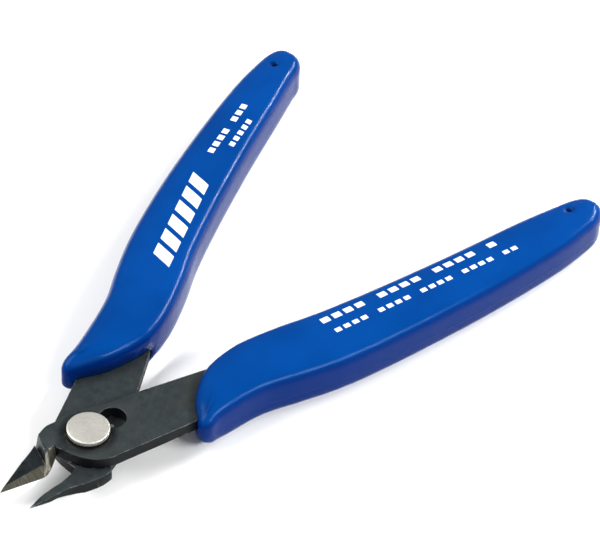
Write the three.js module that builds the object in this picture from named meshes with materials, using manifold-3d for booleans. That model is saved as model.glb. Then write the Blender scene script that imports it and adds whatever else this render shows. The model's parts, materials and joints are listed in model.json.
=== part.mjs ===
// Sprue nippers: two stamped steel blades that turn on a pivot pin, a wire return spring between
// them and a moulded grip on each tang. Millimetres, +Z up.
//
// Every piece is drawn about the pivot: the pivot axis is Z, the bisector of the open handles is
// +Y, the jaws point along -Y and the blades' mating faces lie either side of z = 0. A half is
// drawn with its handle at +X and its jaw at -X, with its outer face up. The rear half is then
// turned half a turn about the Y axis. The last lines stand the whole tool on z = 0.
import * as THREE from "three";
import { mergeVertices } from "three/addons/utils/BufferGeometryUtils.js";
import Module from "manifold-3d";

const wasm = await Module();
wasm.setup();

// Blades
const BLADE_THICKNESS = 2.2;
const BLADE_GAP = 0.2; // between the two mating faces
const INNER_FACE = BLADE_GAP / 2;
const OUTER_FACE = INNER_FACE + BLADE_THICKNESS;
const TANG_OUTER_EDGE = { angle: 20.3, offset: 7.0 }; // degrees from +Y, distance outside the pivot
const TANG_INNER_EDGE = { angle: 26.0, offset: -5.25 };
const FRONT_SPRING_HOLE = { x: 0.95, y: 5.25, radius: 2.4 };
const REAR_SPRING_HOLE = { x: 1.97, y: 3.71, radius: 0.62 };

// Pivot pin and its rear collar
const PIN_RADIUS = 2.0;
const PIN_RUNNING_CLEARANCE = 0.08;
const HEAD_RADIUS = 3.7;
const HEAD_THICKNESS = 1.0;
const SHOULDER_RADIUS = 3.15;
const SHOULDER_HEIGHT = 0.25;
const COLLAR_RADIUS = 3.4;
const COLLAR_THICKNESS = 0.9;
const FACE_CLEARANCE = 0.06; // under the shoulder and over the collar
const RIM_CHAMFER = 0.12;

// Return spring: an open ring of round wire, its ends turned up and down into the spring holes
const WIRE_RADIUS = 0.4;
const SPRING_RADIUS = 4.2;
const SPRING_END_ANGLE = 28; // degrees either side of +Y
const SPRING_END_HEIGHT = 2.2;
const GROOVE_CLEARANCE = 0.15;

// Grips
const GRIP_THICKNESS = 9.2;
const GRIP_EDGE_RADIUS = 2.2;
const GRIP_CROWN = 0.3; // how far the middle of a face stands above its edges
const FLAT_INSET = 4.0; // from a grip's wall to the flat middle of its face
const EDGE_STEPS = 3;
const TANG_CLEARANCE = 0.15;
const END_HOLE = { x: 34.3, y: 98.8, radius: 0.85, depth: 3.2 };

const ROUND_SEGMENTS = 48;

// Helpers: geometry to solid and back, and the cutters used on more than one piece.

function solidFrom(geometry) {
  const bare = geometry.index ? geometry.toNonIndexed() : geometry.clone();
  bare.deleteAttribute("normal");
  bare.deleteAttribute("uv");
  const merged = mergeVertices(bare, 1e-4);
  return new wasm.Manifold(
    new wasm.Mesh({
      numProp: 3,
      vertProperties: merged.attributes.position.array,
      triVerts: new Uint32Array(merged.index.array),
    }),
  );
}

function geometryFrom(solid) {
  const mesh = solid.getMesh();
  const geometry = new THREE.BufferGeometry();
  geometry.setAttribute("position", new THREE.BufferAttribute(mesh.vertProperties, 3));
  geometry.setIndex(new THREE.BufferAttribute(mesh.triVerts, 1));
  geometry.computeVertexNormals();
  return geometry;
}

function points2(list) {
  return list.map(([x, y]) => new THREE.Vector2(x, y));
}

// A flat plate between two heights, with its outline grown by clearance on every side.
function plate(outline, low, high, clearance = 0) {
  const geometry = new THREE.ExtrudeGeometry(outline, {
    depth: high - low,
    curveSegments: 4,
    bevelEnabled: clearance > 0,
    bevelSize: clearance,
    bevelThickness: clearance,
    bevelSegments: 1,
  });
  return solidFrom(geometry.translate(0, 0, low));
}

function roundBar(x, y, radius, low, high, segments = ROUND_SEGMENTS) {
  const geometry = new THREE.CylinderGeometry(radius, radius, high - low, segments);
  return solidFrom(geometry.rotateX(Math.PI / 2).translate(x, y, (low + high) / 2));
}

// A ring with a square section, about the pivot.
function squareRing(innerRadius, outerRadius, low, high) {
  return roundBar(0, 0, outerRadius, low, high).subtract(
    roundBar(0, 0, innerRadius, low - 1, high + 1),
  );
}

// A fan over a loop of the given size, for the ends of a loft.
function fan(size) {
  return Array.from({ length: size - 2 }, (_, j) => [0, j + 1, j + 2]);
}

// A closed solid through equal loops of 3-D points. The two ends are filled with the triangles in
// ends, which index the points of one loop.
function loft(loops, ends = fan(loops[0].length)) {
  const size = loops[0].length;
  const faces = [];
  for (let i = 0; i + 1 < loops.length; i += 1) {
    for (let j = 0; j < size; j += 1) {
      const a = i * size + j;
      const b = i * size + ((j + 1) % size);
      faces.push(a, b, b + size, a, b + size, a + size);
    }
  }
  const last = (loops.length - 1) * size;
  for (const [a, b, c] of ends) {
    faces.push(a, c, b, last + a, last + b, last + c);
  }
  const geometry = new THREE.BufferGeometry();
  geometry.setAttribute("position", new THREE.Float32BufferAttribute(loops.flat(2), 3));
  geometry.setIndex(faces);
  const solid = solidFrom(geometry);
  if (solid.volume() > 0) return solid;
  geometry.setIndex(faces.reverse());
  return solidFrom(geometry);
}

// Everything above the plane through three points, inside a 2-D polygon.
function cutterAbove(polygon, planePoints) {
  const plane = new THREE.Plane().setFromCoplanarPoints(
    ...planePoints.map((p) => new THREE.Vector3(...p)),
  );
  const { normal, constant } = plane;
  const heightAt = (x, y) => -(normal.x * x + normal.y * y + constant) / normal.z;
  const ceiling = OUTER_FACE + 4;
  return loft([
    polygon.map(([x, y]) => [x, y, heightAt(x, y)]),
    polygon.map(([x, y]) => [x, y, ceiling]),
  ]);
}

// A point on a straight tang edge at a given y.
function onTangEdge({ angle, offset }, y) {
  const turn = THREE.MathUtils.degToRad(angle);
  return [(offset + y * Math.sin(turn)) / Math.cos(turn), y];
}

// Blades. The tang leaves the head between two straight edges, then narrows inside the grip.

const TANG_INSIDE_GRIP_OUTER = [
  [13.1, 17.0],
  [14.9, 25.0],
  [18.6, 35.0],
  [22.6, 46.0],
  [26.6, 60.0],
  [29.8, 73.0],
  [31.6, 82.0],
];
const TANG_INSIDE_GRIP_INNER = [
  [28.2, 83.5],
  [25.6, 74.0],
  [22.0, 62.0],
  [17.4, 49.0],
  [13.2, 39.5],
];

function bladeOutline({ nearEdge, innerJaw, outerJaw, head }) {
  const outline = new THREE.Shape();
  outline.moveTo(...nearEdge[0]);
  outline.splineThru(points2(nearEdge.slice(1)));
  outline.lineTo(...onTangEdge(TANG_OUTER_EDGE, 13.5));
  outline.splineThru(points2(TANG_INSIDE_GRIP_OUTER));
  outline.quadraticCurveTo(32.0, 85.6, 30.6, 85.6);
  outline.quadraticCurveTo(29.0, 85.6, ...TANG_INSIDE_GRIP_INNER[0]);
  outline.splineThru(points2(TANG_INSIDE_GRIP_INNER.slice(1)));
  outline.lineTo(...onTangEdge(TANG_INNER_EDGE, 32));
  outline.lineTo(...onTangEdge(TANG_INNER_EDGE, 12));
  outline.splineThru(points2(head));
  outline.splineThru(points2(outerJaw));
  outline.lineTo(...innerJaw[0]);
  outline.splineThru(points2(innerJaw.slice(1)));
  outline.closePath();
  return outline;
}

const BOSS_NEAR_EDGE = [
  [-2.15, -5.95],
  [-0.2, -5.72],
  [2.4, -5.2],
  [4.9, -4.05],
  [6.5, -2.2],
  [7.1, -0.95],
];
const HEAD_FAR_EDGE = [
  [-0.75, 9.9],
  [-2.1, 7.0],
  [-3.9, 4.2],
  [-5.5, 1.1],
  [-6.05, -1.6],
];

// A jaw's outer face drops at the shoulder to the foot, and slopes from there to the point. The
// ground bevel rises from the cutting edge: each station pairs a point of the edge, at the mating
// face, with the point above it at the height of the outer face.

// The jaw of the front half has a broad bevel and a bulging edge.
const FRONT_JAW = {
  nearEdge: BOSS_NEAR_EDGE,
  head: HEAD_FAR_EDGE,
  springHole: FRONT_SPRING_HOLE,
  outerJaw: [
    [-6.55, -3.3],
    [-6.4, -5.0],
    [-5.95, -6.6],
    [-5.45, -8.9],
    [-5.15, -11.2],
    [-4.8, -13.2],
    [-4.3, -15.8],
  ],
  innerJaw: [
    [-3.87, -18.25],
    [-2.4, -15.2],
    [-0.98, -12.25],
    [-0.45, -10.9],
    [-0.42, -9.9],
    [-0.85, -8.6],
    [-1.64, -6.8],
  ],
  relief: {
    shoulder: [
      [-7.0, -5.2, OUTER_FACE],
      [-1.2, -8.95, OUTER_FACE],
    ],
    foot: [
      [-7.2, -6.3, 1.15],
      [-1.2, -9.5, 1.0],
    ],
    tip: [-4.0, -16.0, 0.53],
  },
  bevel: [
    { edge: [-4.9, -20.3], top: [-9.6, -18.0] },
    { edge: [-2.9, -16.2], top: [-7.6, -13.9] },
    { edge: [-0.98, -12.25], top: [-5.7, -9.9] },
    { edge: [-0.45, -10.9], top: [-4.8, -8.7] },
    { edge: [-0.42, -9.9], top: [-3.3, -8.4] },
    { edge: [-0.85, -8.6], top: [-2.5, -7.8] },
    { edge: [-1.25, -7.7], top: [-2.75, -7.1] },
    { edge: [-1.64, -6.8], top: [-2.7, -6.5] },
    { edge: [-2.15, -5.95], top: [-2.5, -5.8] },
  ],
};

// The jaw of the rear half is slimmer and thicker, with an edge that is almost straight.
const REAR_JAW = {
  nearEdge: BOSS_NEAR_EDGE,
  head: HEAD_FAR_EDGE,
  springHole: REAR_SPRING_HOLE,
  outerJaw: [
    [-7.05, -2.4],
    [-7.1, -3.6],
    [-6.8, -5.0],
    [-5.55, -7.65],
    [-4.5, -9.5],
    [-3.6, -11.9],
    [-3.1, -14.1],
  ],
  innerJaw: [
    [-1.97, -17.6],
    [-1.75, -14.8],
    [-1.93, -12.4],
    [-2.3, -9.9],
    [-2.4, -8.2],
    [-2.3, -6.8],
  ],
  relief: {
    shoulder: [
      [-8.0, -7.0, OUTER_FACE],
      [-1.2, -8.8, OUTER_FACE],
    ],
    foot: [
      [-8.0, -7.6, 2.15],
      [-1.2, -9.4, 2.1],
    ],
    tip: [-2.0, -17.4, 0.28],
  },
  bevel: [
    { edge: [-1.85, -20.4], top: [-5.2, -19.6] },
    { edge: [-1.75, -14.8], top: [-5.0, -14.6] },
    { edge: [-1.93, -12.4], top: [-5.0, -12.0] },
    { edge: [-2.3, -9.9], top: [-4.8, -9.5] },
    { edge: [-2.4, -8.2], top: [-3.9, -7.9] },
    { edge: [-2.3, -6.8], top: [-3.2, -6.6] },
    { edge: [-2.15, -5.95], top: [-2.5, -5.8] },
  ],
};
const BEVEL_STEPS = 3; // strips between two stations
const BEVEL_LEVELS = 4; // and between the edge and the outer face

function groundBevel(stations) {
  const floor = INNER_FACE + 0.05;
  const above = OUTER_FACE + 0.3;
  const lean = (above - floor) / (OUTER_FACE - floor);
  const count = (stations.length - 1) * BEVEL_STEPS;
  const edges = new THREE.SplineCurve(points2(stations.map(({ edge }) => edge))).getPoints(count);
  const tops = new THREE.SplineCurve(points2(stations.map(({ top }) => top))).getPoints(count);
  const loops = edges.map((edge, i) => {
    const loop = [];
    for (let k = 0; k <= BEVEL_LEVELS; k += 1) {
      const share = k / BEVEL_LEVELS;
      const { x, y } = edge.clone().lerp(tops[i], lean * share);
      loop.push([x, y, floor + (above - floor) * share]);
    }
    const away = edge.clone().lerp(tops[i], -0.5);
    loop.push([away.x, away.y, above], [away.x, away.y, floor]);
    return loop;
  });
  return loft(loops);
}

function jawRelief({ shoulder, foot, tip }) {
  const beyond = [[2, -11.5], [2, -22], [-9, -22]];
  const slope = cutterAbove([...foot, ...beyond], [...foot, tip]);
  const ramp = cutterAbove([...shoulder, foot[1], foot[0]], [...shoulder, foot[1]]);
  return slope.add(ramp);
}

function blade(jaw) {
  const groove = squareRing(
    SPRING_RADIUS - WIRE_RADIUS - GROOVE_CLEARANCE,
    SPRING_RADIUS + WIRE_RADIUS + GROOVE_CLEARANCE,
    -1,
    WIRE_RADIUS + GROOVE_CLEARANCE,
  );
  const bore = roundBar(0, 0, PIN_RADIUS + PIN_RUNNING_CLEARANCE, -1, OUTER_FACE + 1);
  const { x, y, radius } = jaw.springHole;
  const hole = roundBar(x, y, radius, -1, OUTER_FACE + 1, 32);
  return plate(bladeOutline(jaw), INNER_FACE, OUTER_FACE)
    .subtract(bore)
    .subtract(groove)
    .subtract(hole)
    .subtract(jawRelief(jaw.relief))
    .subtract(groundBevel(jaw.bevel));
}

// Grips. The outline of each runs round its nose, which wraps the tang obliquely, up the outer
// wall, round the end and down the inner wall.

const NOSE_LENGTH = 7; // over which a grip thins towards the tip of its nose
const FRONT_GRIP = {
  nose: [
    [6.3, 24.6],
    [7.2, 21.3],
    [9.2, 17.4],
    [11.9, 14.2],
    [13.9, 13.1],
    [15.2, 14.3],
    [15.5, 17.6],
  ],
  noseSpine: [
    [13.4, 15.4],
    [12.2, 20.5],
  ],
  outerWall: [
    [17.5, 26.0],
    [21.0, 33.0],
    [24.45, 40.0],
    [27.4, 48.0],
    [31.1, 60.0],
    [35.2, 75.0],
    [38.5, 90.0],
    [39.6, 99.0],
  ],
  end: [
    [39.9, 102.6],
    [38.8, 105.2],
    [36.0, 105.2],
    [33.6, 105.2],
    [32.2, 102.7],
  ],
  innerWall: [
    [31.3, 100.0],
    [27.7, 90.0],
    [23.0, 75.0],
    [17.9, 60.0],
    [13.4, 48.0],
    [9.8, 40.0],
    [7.15, 33.0],
    [6.3, 28.0],
  ],
  thinning: { upper: 0.3, lower: 0.5 },
};
const REAR_GRIP = {
  nose: [
    [5.8, 23.8],
    [6.5, 19.8],
    [8.0, 15.2],
    [10.4, 11.2],
    [12.4, 8.9],
    [14.1, 9.9],
    [14.9, 15.2],
  ],
  noseSpine: [
    [12.6, 12.2],
    [11.5, 18.5],
  ],
  outerWall: [
    [18.0, 26.0],
    [21.3, 33.0],
    [24.4, 40.0],
    [27.25, 48.0],
    [30.75, 60.0],
    [34.35, 75.0],
    [37.3, 90.0],
    [38.2, 99.0],
  ],
  end: [
    [38.5, 102.6],
    [37.5, 105.3],
    [35.2, 105.4],
    [32.3, 105.6],
    [30.5, 103.8],
  ],
  innerWall: [
    [29.95, 100.0],
    [27.05, 90.0],
    [22.75, 75.0],
    [18.0, 60.0],
    [13.75, 48.0],
    [10.2, 40.0],
    [7.55, 33.0],
    [6.3, 28.0],
  ],
  thinning: { upper: 0.35, lower: 0.3 },
};

// The middle of a grip, which its rounded edges and crowned faces close in on.
const GRIP_SPINE = [
  [12.0, 28.0],
  [14.2, 34.0],
  [17.2, 40.0],
  [20.5, 48.0],
  [24.4, 60.0],
  [28.8, 75.0],
  [32.6, 90.0],
  [34.8, 99.0],
  [35.2, 101.6],
];

function gripOutline({ nose, outerWall, end, innerWall }) {
  const outline = new THREE.Path();
  outline.moveTo(...nose[0]);
  outline.splineThru(points2([...nose.slice(1), ...outerWall]));
  outline.bezierCurveTo(...end[0], ...end[1], ...end[2]);
  outline.bezierCurveTo(...end[3], ...end[4], ...innerWall[0]);
  outline.splineThru(points2([...innerWall.slice(1), nose[0]]));
  return outline.getPoints(3).slice(0, -1);
}

// The loops of a grip from its lower face to its upper one: each is the outline drawn in towards
// the spine by inset, and by at most a share of the way.
function gripLevels() {
  const half = GRIP_THICKNESS / 2;
  const wallTop = half - GRIP_CROWN - GRIP_EDGE_RADIUS;
  const levels = [];
  for (let i = 0; i <= EDGE_STEPS; i += 1) {
    const turn = ((Math.PI / 2) * i) / EDGE_STEPS;
    levels.push({
      inset: GRIP_EDGE_RADIUS * (1 - Math.cos(turn)),
      z: wallTop + GRIP_EDGE_RADIUS * Math.sin(turn),
      share: 0.8,
    });
  }
  const midway = (GRIP_EDGE_RADIUS + FLAT_INSET) / 2;
  levels.push({ inset: midway, z: half - GRIP_CROWN / 3, share: 0.85 });
  levels.push({ inset: FLAT_INSET, z: half, share: 0.9 });
  return [...levels.map((level) => ({ ...level, z: -level.z })).reverse(), ...levels];
}

function gripBody(shape) {
  const outline = gripOutline(shape);
  const spine = new THREE.SplineCurve(points2([...shape.noseSpine, ...GRIP_SPINE])).getPoints(80);
  const nearest = (point) =>
    spine.reduce((best, s) => (s.distanceTo(point) < best.distanceTo(point) ? s : best));
  const targets = outline.map(nearest);
  const noseTip = outline.reduce((low, p) => (p.y < low.y ? p : low));
  const thinned = (point, z) => {
    const away = Math.min((point.y - noseTip.y) / NOSE_LENGTH, 1);
    const most = z > 0 ? shape.thinning.upper : shape.thinning.lower;
    return z * (1 - most * (1 - away) ** 2);
  };
  const loops = gripLevels().map(({ inset, z, share }) =>
    outline.map((point, i) => {
      const reach = point.distanceTo(targets[i]);
      const moved = point.clone().lerp(targets[i], Math.min(inset / reach, share));
      return [moved.x, moved.y, thinned(moved, z)];
    }),
  );
  return loft(loops, THREE.ShapeUtils.triangulateShape(outline, []));
}

function grip(shape, jaw) {
  const half = GRIP_THICKNESS / 2;
  const pocket = plate(bladeOutline(jaw), INNER_FACE, OUTER_FACE, TANG_CLEARANCE);
  const { x, y, radius, depth } = END_HOLE;
  const upperHole = roundBar(x, y, radius, half - depth, half + 1, 24);
  const lowerHole = roundBar(x, y, radius, -half - 1, depth - half, 24);
  return gripBody(shape).subtract(pocket).subtract(upperHole).subtract(lowerHole);
}

// Pivot pin: a flat head with a narrower shoulder, and a shank through both blades.
function pivotPin() {
  const under = OUTER_FACE + FACE_CLEARANCE;
  const disc = under + SHOULDER_HEIGHT;
  const top = disc + HEAD_THICKNESS;
  const tail = -(OUTER_FACE + FACE_CLEARANCE + COLLAR_THICKNESS + 0.15);
  const profile = points2([
    [0, tail],
    [PIN_RADIUS - RIM_CHAMFER, tail],
    [PIN_RADIUS, tail + RIM_CHAMFER],
    [PIN_RADIUS, under],
    [SHOULDER_RADIUS, under],
    [SHOULDER_RADIUS, disc],
    [HEAD_RADIUS - RIM_CHAMFER, disc],
    [HEAD_RADIUS, disc + RIM_CHAMFER],
    [HEAD_RADIUS, top - RIM_CHAMFER],
    [HEAD_RADIUS - RIM_CHAMFER, top],
    [0, top],
  ]);
  return new THREE.LatheGeometry(profile, ROUND_SEGMENTS).rotateX(Math.PI / 2);
}

// Collar: the disc pressed on the pin's tail, behind the rear blade.
function pivotCollar() {
  const face = -(OUTER_FACE + FACE_CLEARANCE);
  const back = face - COLLAR_THICKNESS;
  const bore = PIN_RADIUS + 0.03;
  const profile = points2([
    [bore, back],
    [COLLAR_RADIUS - RIM_CHAMFER, back],
    [COLLAR_RADIUS, back + RIM_CHAMFER],
    [COLLAR_RADIUS, face],
    [bore, face],
    [bore, back],
  ]);
  return new THREE.LatheGeometry(profile, ROUND_SEGMENTS).rotateX(Math.PI / 2);
}

// The spring's wire starts upright in the front blade's hole, runs round the pin the long way and
// ends pointing down in the rear blade's hole.
function returnSpring() {
  const end = THREE.MathUtils.degToRad(SPRING_END_ANGLE);
  const first = Math.PI / 2 - end;
  const sweep = 2 * Math.PI - 2 * end;
  const bend = 2 * WIRE_RADIUS;
  const bendAngle = bend / SPRING_RADIUS;
  const onRing = (angle, z) =>
    new THREE.Vector3(SPRING_RADIUS * Math.cos(angle), SPRING_RADIUS * Math.sin(angle), z);
  const path = [onRing(first, SPRING_END_HEIGHT), onRing(first, bend)];
  const turns = 24;
  for (let i = 0; i <= turns; i += 1) {
    path.push(onRing(first - bendAngle - ((sweep - 2 * bendAngle) * i) / turns, 0));
  }
  path.push(onRing(first - sweep, -bend), onRing(first - sweep, -SPRING_END_HEIGHT));
  const section = new THREE.Shape().absarc(0, 0, WIRE_RADIUS, 0, 2 * Math.PI);
  return new THREE.ExtrudeGeometry(section, {
    steps: 72,
    curveSegments: 4,
    extrudePath: new THREE.CatmullRomCurve3(path),
  });
}

// Materials
const blackOxide = new THREE.MeshStandardMaterial({
  color: 0x3d4647,
  roughness: 0.45,
  metalness: 0.85,
});
const nickel = new THREE.MeshStandardMaterial({ color: 0xd6d4cb, roughness: 0.3, metalness: 1 });
const springSteel = new THREE.MeshStandardMaterial({
  color: 0x8b8b86,
  roughness: 0.35,
  metalness: 1,
});
const bluePlastic = new THREE.MeshStandardMaterial({
  color: 0x0a4aa0,
  roughness: 0.25,
  metalness: 0,
});

function named(name, geometry, material) {
  const mesh = new THREE.Mesh(geometry, material);
  mesh.name = name;
  return mesh;
}

const frontHalf = new THREE.Group();
frontHalf.add(
  named("front_blade", geometryFrom(blade(FRONT_JAW)), blackOxide),
  named("front_grip", geometryFrom(grip(FRONT_GRIP, FRONT_JAW)), bluePlastic),
);

const rearHalf = new THREE.Group();
rearHalf.rotation.y = Math.PI;
rearHalf.add(
  named("rear_blade", geometryFrom(blade(REAR_JAW)), blackOxide),
  named("rear_grip", geometryFrom(grip(REAR_GRIP, REAR_JAW)), bluePlastic),
);

const tool = new THREE.Group();
tool.add(
  frontHalf,
  rearHalf,
  named("pivot_pin", pivotPin(), nickel),
  named("pivot_collar", pivotCollar(), nickel),
  named("return_spring", returnSpring(), springSteel),
);

// Stand the tool on z = 0, centred over the origin.
const box = new THREE.Box3().setFromObject(tool);
tool.position.set(-(box.min.x + box.max.x) / 2, -(box.min.y + box.max.y) / 2, -box.min.z);

const sprueNippers = new THREE.Group();
sprueNippers.add(tool);
export default sprueNippers;
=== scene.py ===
# Sprue nippers with black-oxide blades and blue moulded grips, on a pale floor. Shapes are drawn
# in millimetres about the pivot, as the CAD is: the pivot axis is Z and the grips point along +Y.
# A half is drawn with its handle at +X, and the rear half is then turned half a turn about Y.
import json
import math

import bmesh
import bpy
from mathutils import Matrix, Vector


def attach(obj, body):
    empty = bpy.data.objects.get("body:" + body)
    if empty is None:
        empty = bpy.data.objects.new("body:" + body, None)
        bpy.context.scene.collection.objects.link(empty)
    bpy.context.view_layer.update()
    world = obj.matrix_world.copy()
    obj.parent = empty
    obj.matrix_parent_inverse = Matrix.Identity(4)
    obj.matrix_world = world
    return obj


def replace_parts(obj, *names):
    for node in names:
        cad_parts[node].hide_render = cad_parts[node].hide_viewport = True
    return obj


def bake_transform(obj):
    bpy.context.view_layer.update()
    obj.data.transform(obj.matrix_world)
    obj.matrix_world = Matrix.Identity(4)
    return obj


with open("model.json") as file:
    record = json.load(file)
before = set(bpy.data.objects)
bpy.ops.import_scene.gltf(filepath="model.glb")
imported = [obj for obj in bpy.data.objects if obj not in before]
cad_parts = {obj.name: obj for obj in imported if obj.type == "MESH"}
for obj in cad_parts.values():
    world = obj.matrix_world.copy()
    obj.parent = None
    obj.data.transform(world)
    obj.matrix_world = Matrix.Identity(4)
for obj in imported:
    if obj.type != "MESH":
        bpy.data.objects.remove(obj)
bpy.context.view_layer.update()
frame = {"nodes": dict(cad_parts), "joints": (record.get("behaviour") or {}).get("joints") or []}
NODES = frame["nodes"]
PIVOT = Vector(frame["joints"][0]["pos_m"])
MM = 0.001

# Sizes shared with the CAD
OUTER_FACE = 2.3
PIN_RADIUS = 2.0
HEAD_RADIUS = 3.7
HEAD_THICKNESS = 1.0
SHOULDER_RADIUS = 3.15
SHOULDER_HEIGHT = 0.25
COLLAR_RADIUS = 3.4
COLLAR_BORE = 2.03
COLLAR_THICKNESS = 0.9
TAIL_BEYOND_COLLAR = 0.15
FACE_CLEARANCE = 0.06
WIRE_RADIUS = 0.4
SPRING_RADIUS = 4.2
SPRING_END_ANGLE = 28
SPRING_END_HEIGHT = 2.2
GRIP_HALF_THICKNESS = 4.6
GRIP_EDGE_RADIUS = 2.2
GRIP_CROWN = 0.3
FLAT_INSET = 4.0
TANG_CLEARANCE = 0.15
END_HOLE = {"x": 34.3, "y": 98.8, "radius": 0.85, "depth": 3.2}
NOSE_LENGTH = 7.0

# Vertices of the CAD's faceted meshes that stand for one corner lie closer than this, in metres.
SAME_CORNER = 2e-6

FRONT = Matrix.Identity(4)
REAR = Matrix.Rotation(math.pi, 4, "Y")
TO_ROW = Matrix.Translation(PIVOT) @ Matrix.Scale(MM, 4)


# Meshes


def add_object(name, mesh):
    obj = bpy.data.objects.new(name, mesh)
    bpy.context.scene.collection.objects.link(obj)
    return obj


def mesh_from(name, points, faces):
    mesh = bpy.data.meshes.new(name)
    mesh.from_pydata(points, [], faces)
    mesh.update()
    return mesh


def apply_modifiers(obj):
    """Keeps the evaluated mesh and drops the modifiers."""
    depsgraph = bpy.context.evaluated_depsgraph_get()
    mesh = bpy.data.meshes.new_from_object(obj.evaluated_get(depsgraph))
    obj.modifiers.clear()
    obj.data = mesh


def smooth(obj, angle):
    """Smooth shading, broken at edges sharper than an angle in degrees."""
    obj.data.shade_smooth()
    obj.data.set_sharp_from_angle(angle=math.radians(angle))


def cut(obj, cutter):
    """Cuts one object out of another and removes it."""
    modifier = obj.modifiers.new("cut", "BOOLEAN")
    modifier.operation = "DIFFERENCE"
    modifier.solver = "EXACT"
    modifier.object = cutter
    apply_modifiers(obj)
    bpy.data.objects.remove(cutter)


def spline(points, steps):
    """A Catmull-Rom curve through 2-D points, its last one included."""
    curve = []
    last = len(points) - 1
    for i in range(last):
        around = [Vector(points[min(max(j, 0), last)]) for j in range(i - 1, i + 3)]
        a, b, c, d = around
        for k in range(steps):
            t = k / steps
            start, end = (c - a) / 2, (d - b) / 2
            curve.append(
                (2 * b - 2 * c + start + end) * t**3
                + (-3 * b + 3 * c - 2 * start - end) * t**2
                + start * t
                + b
            )
    curve.append(Vector(points[-1]))
    return curve


def bezier(a, b, c, d, steps):
    """A cubic curve without its last point."""
    a, b, c, d = map(Vector, (a, b, c, d))
    return [
        a * (1 - t) ** 3 + b * 3 * t * (1 - t) ** 2 + c * 3 * t**2 * (1 - t) + d * t**3
        for t in (k / steps for k in range(steps))
    ]


def lathe(name, profile, segments):
    """A turned piece about the pivot, from (radius, height) pairs between two points on or
    round the axis."""
    points, faces = [], []
    for radius, height in profile:
        for k in range(segments):
            turn = 2 * math.pi * k / segments
            points.append((radius * math.cos(turn), radius * math.sin(turn), height))
    for i in range(len(profile) - 1):
        for k in range(segments):
            n = (k + 1) % segments
            low, high = i * segments, (i + 1) * segments
            faces.append((low + k, low + n, high + n, high + k))
    mesh = mesh_from(name, points, faces)
    work = bmesh.new()
    work.from_mesh(mesh)
    bmesh.ops.remove_doubles(work, verts=work.verts, dist=1e-4)
    bmesh.ops.recalc_face_normals(work, faces=work.faces)
    work.to_mesh(mesh)
    work.free()
    mesh.transform(TO_ROW)
    return add_object(name, mesh)


def rounded(corner_radius, corner_height, radius, start, end, steps=6):
    """(radius, height) pairs along a quarter round, from one angle to another in degrees."""
    pairs = []
    for k in range(steps + 1):
        turn = math.radians(start + (end - start) * k / steps)
        pairs.append(
            (corner_radius + radius * math.cos(turn), corner_height + radius * math.sin(turn))
        )
    return pairs


# Node materials


def new_material(name):
    material = bpy.data.materials.new(name)
    material.use_nodes = True
    tree = material.node_tree
    return material, tree, tree.nodes["Principled BSDF"]


def feed(tree, socket, value):
    """Links a socket to another, or sets its value."""
    if isinstance(value, bpy.types.NodeSocket):
        tree.links.new(value, socket)
    else:
        socket.default_value = value


def calc(tree, operation, *values):
    node = tree.nodes.new("ShaderNodeMath")
    node.operation = operation
    for socket, value in zip(node.inputs, values):
        feed(tree, socket, value)
    return node.outputs[0]


def ramp(tree, value, low, high, to_low=0.0, to_high=1.0):
    """Maps low...high to to_low...to_high and holds it there beyond."""
    node = tree.nodes.new("ShaderNodeMapRange")
    for name, given in (
        ("Value", value),
        ("From Min", low),
        ("From Max", high),
        ("To Min", to_low),
        ("To Max", to_high),
    ):
        feed(tree, node.inputs[name], given)
    return node.outputs["Result"]


def mix(tree, factor, first, second):
    node = tree.nodes.new("ShaderNodeMix")
    node.data_type = "RGBA"
    feed(tree, node.inputs[0], factor)
    for socket, colour in ((node.inputs[6], first), (node.inputs[7], second)):
        feed(tree, socket, colour if isinstance(colour, bpy.types.NodeSocket) else (*colour, 1))
    return node.outputs[2]


def place(tree, turn=0.0, stretch=(1, 1, 1)):
    """Position about the pivot in millimetres, turned about Z by degrees, then stretched."""
    coordinates = tree.nodes.new("ShaderNodeTexCoord")
    centred = tree.nodes.new("ShaderNodeVectorMath")
    centred.operation = "SUBTRACT"
    tree.links.new(coordinates.outputs["Object"], centred.inputs[0])
    centred.inputs[1].default_value = PIVOT
    turned = tree.nodes.new("ShaderNodeMapping")
    turned.inputs["Rotation"].default_value = (0, 0, math.radians(turn))
    turned.inputs["Scale"].default_value = (1000, 1000, 1000)
    tree.links.new(centred.outputs[0], turned.inputs["Vector"])
    stretched = tree.nodes.new("ShaderNodeVectorMath")
    stretched.operation = "MULTIPLY"
    tree.links.new(turned.outputs[0], stretched.inputs[0])
    stretched.inputs[1].default_value = stretch
    return stretched.outputs[0]


def noise(tree, where, scale, detail=3.0, rough=0.5):
    node = tree.nodes.new("ShaderNodeTexNoise")
    tree.links.new(where, node.inputs["Vector"])
    node.inputs["Scale"].default_value = scale
    node.inputs["Detail"].default_value = detail
    node.inputs["Roughness"].default_value = rough
    return node.outputs["Fac"]


def bump(tree, shader, heights, normal=None):
    """Chains bumps, each a height and its depth in millimetres."""
    for height, depth in heights:
        node = tree.nodes.new("ShaderNodeBump")
        node.inputs["Distance"].default_value = depth * MM
        node.inputs["Strength"].default_value = 1.0
        tree.links.new(height, node.inputs["Height"])
        if normal is not None:
            tree.links.new(normal, node.inputs["Normal"])
        normal = node.outputs["Normal"]
    tree.links.new(normal, shader.inputs["Normal"])


def split(tree, where):
    node = tree.nodes.new("ShaderNodeSeparateXYZ")
    tree.links.new(where, node.inputs[0])
    return node.outputs


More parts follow.
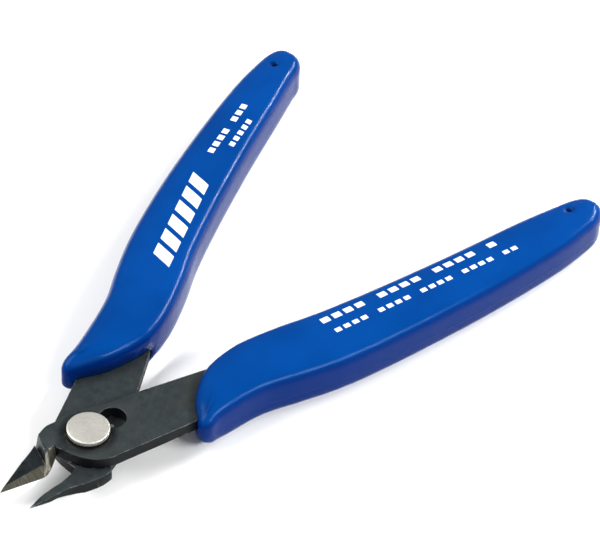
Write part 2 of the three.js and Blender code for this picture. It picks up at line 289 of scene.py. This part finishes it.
def from_pivot(tree, where):
    """Distance from the pivot's axis in millimetres."""
    flat = tree.nodes.new("ShaderNodeVectorMath")
    flat.operation = "MULTIPLY"
    flat.inputs[1].default_value = (1, 1, 0)
    tree.links.new(where, flat.inputs[0])
    length = tree.nodes.new("ShaderNodeVectorMath")
    length.operation = "LENGTH"
    tree.links.new(flat.outputs[0], length.inputs[0])
    return length.outputs["Value"]


def bevelled_normal(tree, radius, samples):
    """The normal as if every edge were rounded to a radius in millimetres."""
    node = tree.nodes.new("ShaderNodeBevel")
    node.samples = samples
    node.inputs["Radius"].default_value = radius * MM
    return node.outputs[0]


def edge_mask(tree, radius):
    """1 on the surface beside an edge, 0 away from one."""
    geometry = tree.nodes.new("ShaderNodeNewGeometry")
    product = tree.nodes.new("ShaderNodeVectorMath")
    product.operation = "DOT_PRODUCT"
    tree.links.new(bevelled_normal(tree, radius, 6), product.inputs[0])
    tree.links.new(geometry.outputs["Normal"], product.inputs[1])
    return ramp(tree, product.outputs["Value"], 0.995, 0.9)


def upright(tree):
    """1 on a wall, 0 on a face that looks up or down."""
    geometry = tree.nodes.new("ShaderNodeNewGeometry")
    height = calc(tree, "ABSOLUTE", split(tree, geometry.outputs["Normal"])[2])
    return ramp(tree, height, 0.75, 0.35)


def black_oxide():
    """Mottled plate, worn bright along its edges, with painted shade on its walls and a painted
    shadow round the pivot.
    """
    material, tree, shader = new_material("black_oxide_steel")
    where = place(tree)
    mottle = noise(tree, where, 0.55, 5.0, 0.62)
    cloud = noise(tree, where, 0.16, 3.0)
    brushed = noise(tree, place(tree, -23, (9.0, 0.35, 9.0)), 1.0, 4.0, 0.6)
    speck = noise(tree, where, 5.0, 4.0, 0.7)
    base = mix(tree, ramp(tree, mottle, 0.35, 0.68), (0.018, 0.024, 0.027), (0.04, 0.052, 0.056))
    base = mix(tree, ramp(tree, cloud, 0.4, 0.65, 0.0, 0.5), base, (0.04, 0.046, 0.042))
    base = mix(tree, ramp(tree, brushed, 0.55, 0.75, 0.0, 0.35), base, (0.085, 0.1, 0.1))
    worn = calc(
        tree,
        "MULTIPLY",
        edge_mask(tree, 0.16),
        ramp(tree, noise(tree, where, 0.7, 4.0, 0.7), 0.48, 0.62),
    )
    # Painted shade: walls are coloured darker than the faces that look up.
    base = mix(tree, upright(tree), base, (0.006, 0.007, 0.008))
    # Painted shadow: the plate is darkened towards the pivot, where the pin's head shades it.
    painted_shadow_round_pivot = ramp(tree, from_pivot(tree, where), 5.4, 3.9, 0.0, 0.93)
    base = mix(tree, painted_shadow_round_pivot, base, (0.003, 0.0035, 0.004))
    tree.links.new(mix(tree, worn, base, (0.5, 0.52, 0.52)), shader.inputs["Base Color"])
    shader.inputs["Metallic"].default_value = 0.5
    level = shader.inputs["Specular IOR Level"]
    level.default_value = 0.4  # for where the link can't be followed
    tree.links.new(ramp(tree, upright(tree), 0, 1, 0.4, 0.12), level)
    rough = ramp(tree, mottle, 0.3, 0.7, 0.5, 0.38)
    tree.links.new(calc(tree, "SUBTRACT", rough, calc(tree, "MULTIPLY", worn, 0.1)),
                   shader.inputs["Roughness"])
    bump(tree, shader, [(brushed, 0.012), (speck, 0.01), (mottle, 0.03)])
    return material


def ground_steel():
    """The cutting bevel: grinding lines run up from the edge."""
    material, tree, shader = new_material("ground_steel")
    lines = noise(tree, place(tree, 26, (0.5, 7.0, 1.0)), 1.0, 4.0, 0.65)
    patch = noise(tree, place(tree), 0.5, 4.0, 0.6)
    base = mix(tree, ramp(tree, lines, 0.35, 0.68), (0.065, 0.062, 0.048), (0.16, 0.155, 0.125))
    base = mix(tree, ramp(tree, patch, 0.45, 0.7, 0.0, 0.55), base, (0.045, 0.036, 0.022))
    tree.links.new(base, shader.inputs["Base Color"])
    shader.inputs["Metallic"].default_value = 0.8
    tree.links.new(ramp(tree, lines, 0.3, 0.7, 0.5, 0.34), shader.inputs["Roughness"])
    bump(tree, shader, [(lines, 0.03)])
    return material


def relief_steel():
    """The milled relief and shoulder of a jaw: smoother and bluer than the plate."""
    material, tree, shader = new_material("milled_relief_steel")
    lines = noise(tree, place(tree, 32, (6.0, 0.4, 1.0)), 1.0, 4.0, 0.6)
    patch = noise(tree, place(tree), 0.6, 4.0, 0.6)
    base = mix(tree, ramp(tree, patch, 0.35, 0.65), (0.013, 0.018, 0.022), (0.032, 0.04, 0.045))
    worn = calc(
        tree, "MULTIPLY", edge_mask(tree, 0.14), ramp(tree, patch, 0.4, 0.55, 0.2, 1.0)
    )
    tree.links.new(mix(tree, worn, base, (0.55, 0.58, 0.58)), shader.inputs["Base Color"])
    shader.inputs["Metallic"].default_value = 0.75
    tree.links.new(ramp(tree, lines, 0.3, 0.7, 0.42, 0.28), shader.inputs["Roughness"])
    bump(tree, shader, [(lines, 0.012)])
    return material


def nickel():
    """The pin's turned head, with faint scratches and turning marks."""
    material, tree, shader = new_material("satin_nickel")
    where = place(tree)
    turning = calc(tree, "SINE", calc(tree, "MULTIPLY", from_pivot(tree, where), 42.0))
    patch = noise(tree, where, 0.7, 5.0, 0.65)
    scratch = noise(tree, place(tree, 38, (0.45, 14.0, 1.0)), 1.0, 2.0)
    cross = noise(tree, place(tree, -50, (0.6, 18.0, 1.0)), 1.0, 2.0)
    pits = noise(tree, where, 3.2, 4.0, 0.7)
    base = mix(tree, ramp(tree, patch, 0.35, 0.68), (0.68, 0.655, 0.58), (0.9, 0.89, 0.83))
    base = mix(tree, ramp(tree, scratch, 0.66, 0.74, 0.0, 0.5), base, (0.36, 0.34, 0.29))
    base = mix(tree, ramp(tree, pits, 0.62, 0.72, 0.0, 0.5), base, (0.4, 0.38, 0.33))
    tree.links.new(base, shader.inputs["Base Color"])
    shader.inputs["Metallic"].default_value = 0.85
    tree.links.new(ramp(tree, patch, 0.3, 0.7, 0.46, 0.34), shader.inputs["Roughness"])
    bump(tree, shader, [(turning, 0.003), (scratch, 0.012), (cross, 0.01), (patch, 0.03)])
    return material


def spring_wire():
    """Drawn steel wire."""
    material, tree, shader = new_material("spring_wire")
    where = place(tree)
    drawn = noise(tree, where, 2.4, 4.0, 0.6)
    base = mix(tree, ramp(tree, drawn, 0.35, 0.7), (0.2, 0.2, 0.19), (0.46, 0.46, 0.44))
    tree.links.new(base, shader.inputs["Base Color"])
    shader.inputs["Metallic"].default_value = 0.95
    tree.links.new(ramp(tree, drawn, 0.3, 0.7, 0.4, 0.26), shader.inputs["Roughness"])
    bump(tree, shader, [(drawn, 0.008)])
    return material


def within(tree, value, low, high, soft=0.06):
    """1 where low < value < high."""
    rise = ramp(tree, value, low - soft, low + soft)
    fall = ramp(tree, value, high + soft, high - soft)
    return calc(tree, "MULTIPLY", rise, fall)


def dashes(tree, lean, centre, height, start, end, pitch, share, slant=0.0, gap=0.0):
    """A row of bars along a line that leans from +Y by a number of degrees. Each bar takes a
    share of the pitch. Where gap isn't 0, the last fifth of every such length stays empty."""
    across, along, _ = split(tree, place(tree, lean))
    low, high = centre - height / 2, centre + height / 2
    leaning = calc(tree, "ADD", along, calc(tree, "MULTIPLY", across, slant))
    from_start = calc(tree, "SUBTRACT", leaning, start)
    phase = calc(tree, "FRACT", calc(tree, "DIVIDE", from_start, pitch))
    bars = within(tree, phase, 0.5 - share / 2, 0.5 + share / 2, 0.05 / pitch)
    row = calc(tree, "MULTIPLY", within(tree, leaning, start, end), within(tree, across, low, high))
    if gap:
        stretch = calc(tree, "FRACT", calc(tree, "DIVIDE", from_start, gap))
        row = calc(tree, "MULTIPLY", row, calc(tree, "LESS_THAN", stretch, 0.8))
    return calc(tree, "MULTIPLY", bars, row)


# The print is plain bars and dashes, and spells nothing.
LEFT_PRINT = [
    {"lean": -20.3, "centre": -1.1, "height": 3.8, "start": 41.2, "end": 66.4, "pitch": 4.2,
     "share": 0.7, "slant": 0.7},
    {"lean": -12.9, "centre": -11.3, "height": 1.2, "start": 73.2, "end": 90.0, "pitch": 2.1,
     "share": 0.66, "gap": 10.5},
    {"lean": -12.9, "centre": -8.6, "height": 1.0, "start": 76.8, "end": 86.3, "pitch": 1.9,
     "share": 0.62},
]
RIGHT_PRINT = [
    {"lean": 18.7, "centre": 0.8, "height": 1.3, "start": 47.2, "end": 87.2, "pitch": 2.5,
     "share": 0.68, "gap": 12.5},
    {"lean": 18.4, "centre": 4.3, "height": 0.9, "start": 48.0, "end": 89.8, "pitch": 1.9,
     "share": 0.64, "gap": 9.5},
]
PRINT_FLOOR = 3.8  # the print lies above this height only
PARTING_LINE = -0.9  # height


def gloss_plastic(name, print_rows):
    """Blue moulded plastic with a parting line, a worn white print on top and painted shade on its
    walls.
    """
    material, tree, shader = new_material(name)
    where = place(tree)
    height = split(tree, where)[2]
    tone = noise(tree, where, 0.07, 2.0)
    ripple = noise(tree, where, 0.22, 2.0)
    grain = noise(tree, where, 9.0, 3.0)
    base = mix(tree, ramp(tree, tone, 0.35, 0.65), (0.0004, 0.033, 0.172), (0.0008, 0.042, 0.21))
    # Painted shade: walls are coloured a darker blue than the top.
    base = mix(tree, upright(tree), base, (0.0001, 0.016, 0.125))
    mask = None
    for row in print_rows:
        bars = dashes(tree, **row)
        mask = bars if mask is None else calc(tree, "MAXIMUM", mask, bars)
    mask = calc(tree, "MULTIPLY", mask, calc(tree, "GREATER_THAN", height, PRINT_FLOOR))
    mask = calc(tree, "MULTIPLY", mask, ramp(tree, grain, 0.3, 0.42, 0.75, 1.0))
    tree.links.new(mix(tree, mask, base, (0.74, 0.82, 0.88)), shader.inputs["Base Color"])
    rough = ramp(tree, ripple, 0.3, 0.7, 0.13, 0.18)
    tree.links.new(ramp(tree, mask, 0.0, 1.0, rough, 0.4), shader.inputs["Roughness"])
    shader.inputs["Specular IOR Level"].default_value = 0.09
    shader.inputs["Specular Tint"].default_value = (0.4, 0.65, 1, 1)
    from_seam = calc(tree, "ABSOLUTE", calc(tree, "SUBTRACT", height, PARTING_LINE))
    seam = ramp(tree, from_seam, 0.1, 0.0)
    heights = [(ripple, 0.05), (seam, 0.03), (grain, 0.0015), (mask, 0.006)]
    bump(tree, shader, heights, bevelled_normal(tree, 1.3, 8))
    return material


# Blades. Places are in the half's own drawing, in millimetres.

BEVEL_TOP = -5.9  # the ground bevel lies below this Y
RELIEF_TOP = -5.5  # and the milled relief below this one
LEAST_LEAN = 0.12  # upward part of the normal of a ground or milled face
LEAST_FOLD = 35  # degrees between the two faces of an edge that is rounded
BLADE_ROUND = 0.13


def blade_finish(centre, normal):
    """0 for the oxide plate, 1 for the ground bevel and 2 for the milled relief."""
    if centre.y < BEVEL_TOP and LEAST_LEAN < normal.z < 0.97 and normal.x > 0.2:
        return 1
    if centre.y < RELIEF_TOP and centre.z < OUTER_FACE - 0.05 and normal.z > LEAST_LEAN:
        return 2
    return 0


def is_rounded(edge, half, to_half):
    """True for the edges of the outer face away from the jaw, and of the slim jaw's back."""
    if len(edge.link_faces) != 2 or edge.calc_face_angle() < math.radians(LEAST_FOLD):
        return False
    ends = [to_half @ vertex.co for vertex in edge.verts]
    heights = [point.z for point in ends]
    farthest = max(point.x for point in ends)
    near_jaw = min(point.y for point in ends) < -5.4 and farthest < 0
    if min(heights) > OUTER_FACE - 0.02 and not near_jaw:
        return True
    on_back = max(heights) < 0.12 and farthest < -2.6 and ends[0].y > -16.5
    return half is REAR and on_back and max(point.y for point in ends) < -2


def finished_blade(name, node, half, finishes):
    """The CAD plate with its long edges rounded over and a material for each ground face."""
    obj = add_object(name, NODES[node].data.copy())
    mesh = obj.data
    mesh.materials.clear()
    for material in finishes:
        mesh.materials.append(material)
    to_half = (TO_ROW @ half).inverted()
    work = bmesh.new()
    work.from_mesh(mesh)
    bmesh.ops.remove_doubles(work, verts=work.verts, dist=SAME_CORNER)
    bmesh.ops.dissolve_limit(
        work, angle_limit=math.radians(0.6), verts=work.verts, edges=work.edges
    )
    weights = work.edges.layers.float.new("bevel_weight_edge")
    for face in work.faces:
        centre = to_half @ face.calc_center_median()
        normal = (to_half.to_3x3() @ face.normal).normalized()
        face.material_index = blade_finish(centre, normal)
    for edge in work.edges:
        if is_rounded(edge, half, to_half):
            edge[weights] = 1.0
    work.to_mesh(mesh)
    work.free()
    modifier = obj.modifiers.new("edges", "BEVEL")
    modifier.limit_method = "WEIGHT"
    modifier.width = BLADE_ROUND * MM
    modifier.segments = 3
    modifier.use_clamp_overlap = False
    apply_modifiers(obj)
    smooth(obj, 28)
    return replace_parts(obj, node)


# Grips: smooth bodies on the same outline and levels as the CAD, with the tang's pocket and the
# end holes cut out.

GRIP_SPINE = [
    (12.0, 28.0),
    (14.2, 34.0),
    (17.2, 40.0),
    (20.5, 48.0),
    (24.4, 60.0),
    (28.8, 75.0),
    (32.6, 90.0),
    (34.8, 99.0),
    (35.2, 101.6),
]
FRONT_GRIP = {
    "nose": [
        (6.3, 24.6),
        (7.2, 21.3),
        (9.2, 17.4),
        (11.9, 14.2),
        (13.9, 13.1),
        (15.2, 14.3),
        (15.5, 17.6),
    ],
    "nose_spine": [(13.4, 15.4), (12.2, 20.5)],
    "outer_wall": [
        (17.5, 26.0),
        (21.0, 33.0),
        (24.45, 40.0),
        (27.4, 48.0),
        (31.1, 60.0),
        (35.2, 75.0),
        (38.5, 90.0),
        (39.6, 99.0),
    ],
    "end": [
        (39.9, 102.6),
        (38.8, 105.2),
        (36.0, 105.2),
        (33.6, 105.2),
        (32.2, 102.7),
    ],
    "inner_wall": [
        (31.3, 100.0),
        (27.7, 90.0),
        (23.0, 75.0),
        (17.9, 60.0),
        (13.4, 48.0),
        (9.8, 40.0),
        (7.15, 33.0),
        (6.3, 28.0),
    ],
    "upper": 0.3,
    "lower": 0.5,
}
REAR_GRIP = {
    "nose": [
        (5.8, 23.8),
        (6.5, 19.8),
        (8.0, 15.2),
        (10.4, 11.2),
        (12.4, 8.9),
        (14.1, 9.9),
        (14.9, 15.2),
    ],
    "nose_spine": [(12.6, 12.2), (11.5, 18.5)],
    "outer_wall": [
        (18.0, 26.0),
        (21.3, 33.0),
        (24.4, 40.0),
        (27.25, 48.0),
        (30.75, 60.0),
        (34.35, 75.0),
        (37.3, 90.0),
        (38.2, 99.0),
    ],
    "end": [
        (38.5, 102.6),
        (37.5, 105.3),
        (35.2, 105.4),
        (32.3, 105.6),
        (30.5, 103.8),
    ],
    "inner_wall": [
        (29.95, 100.0),
        (27.05, 90.0),
        (22.75, 75.0),
        (18.0, 60.0),
        (13.75, 48.0),
        (10.2, 40.0),
        (7.55, 33.0),
        (6.3, 28.0),
    ],
    "upper": 0.35,
    "lower": 0.3,
}
EDGE_STEPS = 10
CROWN_STEPS = 4
WALL_STEPS = 9
END_STEPS = 12
SPINE_STEPS = 24


def grip_outline(shape):
    """Round the nose, up the outer wall, round the end and down the inner wall."""
    nose, end, inner_wall = shape["nose"], shape["end"], shape["inner_wall"]
    outer = spline([*nose, *shape["outer_wall"]], WALL_STEPS)[:-1]
    turn = bezier(shape["outer_wall"][-1], end[0], end[1], end[2], END_STEPS)
    turn += bezier(end[2], end[3], end[4], inner_wall[0], END_STEPS)
    inner = spline([*inner_wall, nose[0]], WALL_STEPS)[:-1]
    return outer + turn + inner


def grip_levels():
    """The levels of a grip from its lower face to its upper one: how far each is drawn in, its
    height, and the most of the way to the spine that it may go."""
    wall_top = GRIP_HALF_THICKNESS - GRIP_CROWN - GRIP_EDGE_RADIUS
    levels = []
    for i in range(EDGE_STEPS + 1):
        turn = math.pi / 2 * i / EDGE_STEPS
        inset = GRIP_EDGE_RADIUS * (1 - math.cos(turn))
        levels.append((inset, wall_top + GRIP_EDGE_RADIUS * math.sin(turn), 0.8))
    for i in range(1, CROWN_STEPS + 1):
        part = i / CROWN_STEPS
        rise = 1 - (1 - part) ** 2
        inset = GRIP_EDGE_RADIUS + (FLAT_INSET - GRIP_EDGE_RADIUS) * part
        levels.append((inset, GRIP_HALF_THICKNESS - GRIP_CROWN * (1 - rise), 0.8 + 0.1 * part))
    return [(inset, -z, share) for inset, z, share in reversed(levels)] + levels


def even_targets(outline, spine):
    """For each point of the outline, the point of the spine that it is drawn towards: the
    nearest one, evened out along the outline so that the surface has no crease."""
    last = len(spine) - 1
    places = [
        min(range(last + 1), key=lambda i: (spine[i] - point).length_squared) for point in outline
    ]
    size, reach = len(outline), 7
    for _ in range(3):
        places = [
            sum(places[(k + j) % size] for j in range(-reach, reach + 1)) / (2 * reach + 1)
            for k in range(size)
        ]
    return [spine[int(p)].lerp(spine[min(int(p) + 1, last)], p % 1) for p in places]


def zipped(loop):
    """Triangles across a long loop, laced from its lowest point in Y to its highest."""
    size = len(loop)
    start = min(range(size), key=lambda i: loop[i][1])
    end = max(range(size), key=lambda i: loop[i][1])
    one, other, faces = start, start, []
    while one != end or other != end:
        ahead, behind = (one + 1) % size, (other - 1) % size
        if other == end or (one != end and loop[ahead][1] < loop[behind][1]):
            faces.append((one, ahead, other))
            one = ahead
        else:
            faces.append((one, behind, other))
            other = behind
    return [face for face in faces if len(set(face)) == 3]


def grip_body(name, shape):
    """A grip's mesh in the half's own drawing: its levels joined into walls, then two caps."""
    outline = grip_outline(shape)
    spine = spline([*shape["nose_spine"], *GRIP_SPINE], SPINE_STEPS)
    targets = even_targets(outline, spine)
    tip = min(point.y for point in outline)
    points, faces = [], []
    for inset, z, share in grip_levels():
        for point, target in zip(outline, targets):
            reach = (point - target).length
            moved = point.lerp(target, min(inset / reach, share))
            away = min((moved.y - tip) / NOSE_LENGTH, 1)
            thin = 1 - shape["upper" if z > 0 else "lower"] * (1 - away) ** 2
            points.append((moved.x, moved.y, z * thin))
    size = len(outline)
    rows = len(points) // size
    for i in range(rows - 1):
        for k in range(size):
            n = (k + 1) % size
            faces.append((i * size + k, i * size + n, (i + 1) * size + n, (i + 1) * size + k))
    cap = zipped(points[-size:])
    faces += [(a, c, b) for a, b, c in cap]
    faces += [tuple(i + (rows - 1) * size for i in face) for face in cap]
    return mesh_from(name, points, faces)


def tang_pocket(name, blade_node, half):
    """The blade's plate, grown by the clearance of the tang in its grip."""
    pocket = NODES[blade_node].data.copy()
    work = bmesh.new()
    work.from_mesh(pocket)
    bmesh.ops.remove_doubles(work, verts=work.verts, dist=SAME_CORNER)
    middle = (half @ Vector((0, 0, OUTER_FACE / 2 + 0.05))).z * MM + PIVOT.z
    outward = {}
    for vertex in work.verts:
        side = Vector((vertex.normal.x, vertex.normal.y, 0))
        side = side.normalized() if side.length > 0.1 else side
        rise = 1 if vertex.co.z > middle else -1
        outward[vertex] = (side + Vector((0, 0, rise))) * TANG_CLEARANCE * MM
    for vertex, shift in outward.items():
        vertex.co += shift
    work.to_mesh(pocket)
    work.free()
    return add_object(name + "_pocket", pocket)


def end_drill(name, side, half):
    """The blind hole near a grip's end, in its upper face for a side of 1, lower for -1."""
    at_face = Matrix.Translation((END_HOLE["x"], END_HOLE["y"], side * GRIP_HALF_THICKNESS))
    work = bmesh.new()
    bmesh.ops.create_cone(
        work,
        cap_ends=True,
        segments=40,
        radius1=END_HOLE["radius"],
        radius2=END_HOLE["radius"],
        depth=2 * END_HOLE["depth"],
        matrix=at_face,
    )
    drill = bpy.data.meshes.new(name + "_drill")
    work.to_mesh(drill)
    work.free()
    drill.transform(TO_ROW @ half)
    return add_object(name + "_drill", drill)


def moulded_grip(name, node, blade_node, half, shape, material):
    mesh = grip_body(name, shape)
    mesh.transform(TO_ROW @ half)
    obj = add_object(name, mesh)
    cut(obj, tang_pocket(name, blade_node, half))
    for side in (1, -1):
        cut(obj, end_drill(name, side, half))
    obj.data.materials.clear()
    obj.data.materials.append(material)
    for polygon in obj.data.polygons:
        polygon.material_index = 0
    smooth(obj, 38)
    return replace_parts(obj, node)


# Pin, collar and spring


RIM_ROUND = 0.18  # on the rims of the head, the tail and the collar
FINE_ROUND = 0.12  # under the head
HEAD_DOME = [(3.3, 0.045), (2.6, 0.02), (1.4, 0.004), (0, 0)]  # radius, drop below the middle
RIM_DROP = 0.24  # from the middle of the head to the centre of its rim's round
BORE_CHAMFER = 0.08
COLLAR_FACE_ROUND = 0.06
SPRING_BEND = 0.8  # radius of the bends where the ring turns up and down


def turned(name, node, profile, material):
    obj = lathe(name, profile, 128)
    obj.data.materials.append(material)
    smooth(obj, 30)
    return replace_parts(obj, node)


def turned_pin(material):
    under = OUTER_FACE + FACE_CLEARANCE
    disc = under + SHOULDER_HEIGHT
    top = disc + HEAD_THICKNESS
    tail = -(under + COLLAR_THICKNESS + TAIL_BEYOND_COLLAR)
    rim = HEAD_RADIUS - RIM_ROUND
    profile = [(0, tail)]
    profile += rounded(PIN_RADIUS - RIM_ROUND, tail + RIM_ROUND, RIM_ROUND, -90, 0)
    profile += [(PIN_RADIUS, under - 0.01), (PIN_RADIUS, under)]
    profile += [(SHOULDER_RADIUS, under), (SHOULDER_RADIUS, disc)]
    profile += rounded(rim, disc + FINE_ROUND, FINE_ROUND, -90, 0, 4)
    profile += rounded(rim, top - RIM_DROP, RIM_ROUND, 0, 78)
    profile += [(radius, top - drop) for radius, drop in HEAD_DOME]
    return turned("pivot_pin_turned", "pivot_pin", profile, material)


def turned_collar(material):
    face = -(OUTER_FACE + FACE_CLEARANCE)
    back = face - COLLAR_THICKNESS
    edge = COLLAR_RADIUS - COLLAR_FACE_ROUND
    profile = [(COLLAR_BORE, back + BORE_CHAMFER), (COLLAR_BORE + BORE_CHAMFER, back)]
    profile += rounded(COLLAR_RADIUS - RIM_ROUND, back + RIM_ROUND, RIM_ROUND, -90, 0)
    profile += rounded(edge, face - COLLAR_FACE_ROUND, COLLAR_FACE_ROUND, 0, 90, 3)
    profile += [(COLLAR_BORE, face), (COLLAR_BORE, back + BORE_CHAMFER)]
    return turned("pivot_collar_turned", "pivot_collar", profile, material)


def spring_path():
    """Down out of the front blade's hole, round the pin the long way and down into the rear
    blade's hole."""
    end = math.radians(SPRING_END_ANGLE)
    first, sweep = math.pi / 2 - end, 2 * math.pi - 2 * end
    bend, turn = SPRING_BEND, SPRING_BEND / SPRING_RADIUS
    bend_steps, ring_steps, straight = 5, 140, 1.4
    quarter = [math.pi / 2 * k / bend_steps for k in range(bend_steps + 1)]

    def on_ring(angle, z):
        return Vector((SPRING_RADIUS * math.cos(angle), SPRING_RADIUS * math.sin(angle), z))

    path = [on_ring(first, SPRING_END_HEIGHT), on_ring(first, straight)]
    for a in quarter[:-1]:
        path.append(on_ring(first - turn * (1 - math.cos(a)), bend * (1 - math.sin(a))))
    for k in range(ring_steps + 1):
        path.append(on_ring(first - turn - (sweep - 2 * turn) * k / ring_steps, 0))
    for a in quarter[1:]:
        angle = first - sweep + turn * (1 - math.sin(a))
        path.append(on_ring(angle, -bend * (1 - math.cos(a))))
    return path + [on_ring(first - sweep, -straight), on_ring(first - sweep, -SPRING_END_HEIGHT)]


def swept(name, path, radius, sides=20):
    """A round bar along a path of points, closed at both ends."""
    points, faces = [], []
    across = Vector((1, 0, 0))
    for i, centre in enumerate(path):
        ahead = (path[min(i + 1, len(path) - 1)] - path[max(i - 1, 0)]).normalized()
        across = (across - ahead * across.dot(ahead)).normalized()
        other = ahead.cross(across)
        for k in range(sides):
            angle = 2 * math.pi * k / sides
            points.append(centre + (across * math.cos(angle) + other * math.sin(angle)) * radius)
    for i in range(len(path) - 1):
        for k in range(sides):
            n = (k + 1) % sides
            faces.append((i * sides + k, i * sides + n, (i + 1) * sides + n, (i + 1) * sides + k))
    faces.append(tuple(reversed(range(sides))))
    faces.append(tuple(range((len(path) - 1) * sides, len(path) * sides)))
    mesh = mesh_from(name, points, faces)
    mesh.transform(TO_ROW)
    return add_object(name, mesh)


def bent_spring(material):
    """The wire ring, which both halves carry."""
    obj = swept("return_spring_wire", spring_path(), WIRE_RADIUS)
    obj.data.materials.append(material)
    smooth(obj, 50)
    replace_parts(obj, "return_spring")
    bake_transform(obj)


# The tool

finishes = (black_oxide(), ground_steel(), relief_steel())
silver = nickel()
left_plastic = gloss_plastic("gloss_blue_left", LEFT_PRINT)
right_plastic = gloss_plastic("gloss_blue_right", RIGHT_PRINT)
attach(finished_blade("front_blade_ground", "front_blade", FRONT, finishes), "front_half")
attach(finished_blade("rear_blade_ground", "rear_blade", REAR, finishes), "rear_half")
front_grip = moulded_grip(
    "front_grip_moulded", "front_grip", "front_blade", FRONT, FRONT_GRIP, right_plastic
)
rear_grip = moulded_grip(
    "rear_grip_moulded", "rear_grip", "rear_blade", REAR, REAR_GRIP, left_plastic
)
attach(front_grip, "front_half")
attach(rear_grip, "rear_half")
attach(turned_pin(silver), "rear_half")
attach(turned_collar(silver), "rear_half")
bent_spring(spring_wire())


# Floor, light and camera


FLOOR_HALF_WIDTH = 3
WORLD_STRENGTH = 0.2
FOCAL_LENGTH = 150.04
CAMERA_DISTANCE = 455.655  # from the point that the camera faces, in millimetres
CAMERA_TARGET = Vector((33.737, 44.654, 0))  # from the pivot, in the camera's own heading
TILT, ROLL, SWING = math.radians(42.6), math.radians(-4), math.radians(33.36)


def floor_material():
    material, tree, shader = new_material("pale_floor")
    shader.inputs["Base Color"].default_value = (0.9, 0.9, 0.9, 1)
    shader.inputs["Roughness"].default_value = 0.9
    shader.inputs["Specular IOR Level"].default_value = 0.1
    return material


def pale_floor():
    w = FLOOR_HALF_WIDTH
    corners = [(-w, -w, 0), (w, -w, 0), (w, w, 0), (-w, w, 0)]
    floor = add_object("floor", mesh_from("floor", corners, [(0, 1, 2, 3)]))
    floor.data.materials.append(floor_material())


def soft_world():
    world = bpy.data.worlds.new("studio")
    world.use_nodes = True
    background = world.node_tree.nodes["Background"]
    background.inputs["Color"].default_value = (1, 1, 1, 1)
    background.inputs["Strength"].default_value = WORLD_STRENGTH
    bpy.context.scene.world = world


def area_light(name, direction, distance, size, power):
    """A rectangular light that faces the tool from a direction."""
    data = bpy.data.lights.new(name, "AREA")
    data.shape = "RECTANGLE"
    data.size, data.size_y = size
    data.energy = power
    obj = bpy.data.objects.new(name, data)
    bpy.context.scene.collection.objects.link(obj)
    where = Vector(direction).normalized() * distance
    obj.location = where
    obj.rotation_euler = where.to_track_quat("Z", "Y").to_euler()


def studio_camera():
    data = bpy.data.cameras.new("camera")
    data.lens = FOCAL_LENGTH
    data.sensor_width = 36
    data.clip_start = 0.01
    camera = bpy.data.objects.new("camera", data)
    bpy.context.scene.collection.objects.link(camera)
    right = Vector((1, 0, 0))
    up = Vector((0, math.sin(TILT), math.cos(TILT)))
    ahead = Vector((0, math.cos(TILT), -math.sin(TILT)))
    eye = Matrix.Translation((CAMERA_TARGET - ahead * CAMERA_DISTANCE) * MM)
    x_axis = right * math.cos(ROLL) - up * math.sin(ROLL)
    y_axis = right * math.sin(ROLL) + up * math.cos(ROLL)
    axes = Matrix((x_axis, y_axis, -ahead)).transposed().to_4x4()
    heading = Matrix.Translation(PIVOT) @ Matrix.Rotation(SWING, 4, "Z")
    camera.matrix_world = heading @ eye @ axes
    bpy.context.scene.camera = camera


pale_floor()
soft_world()
area_light("key", (-0.75, -0.45, 0.9), 1.5, (1.1, 1.1), 29)
area_light("fill", (0.9, -0.7, 0.9), 1.5, (0.9, 0.9), 3)
area_light("strip_right", (0.79, 0.06, 0.6), 0.9, (0.5, 0.02), 7)
area_light("strip_back", (0.31, 0.81, 0.5), 0.9, (0.6, 0.02), 9)
studio_camera()
bpy.context.scene.view_settings.view_transform = "Standard"
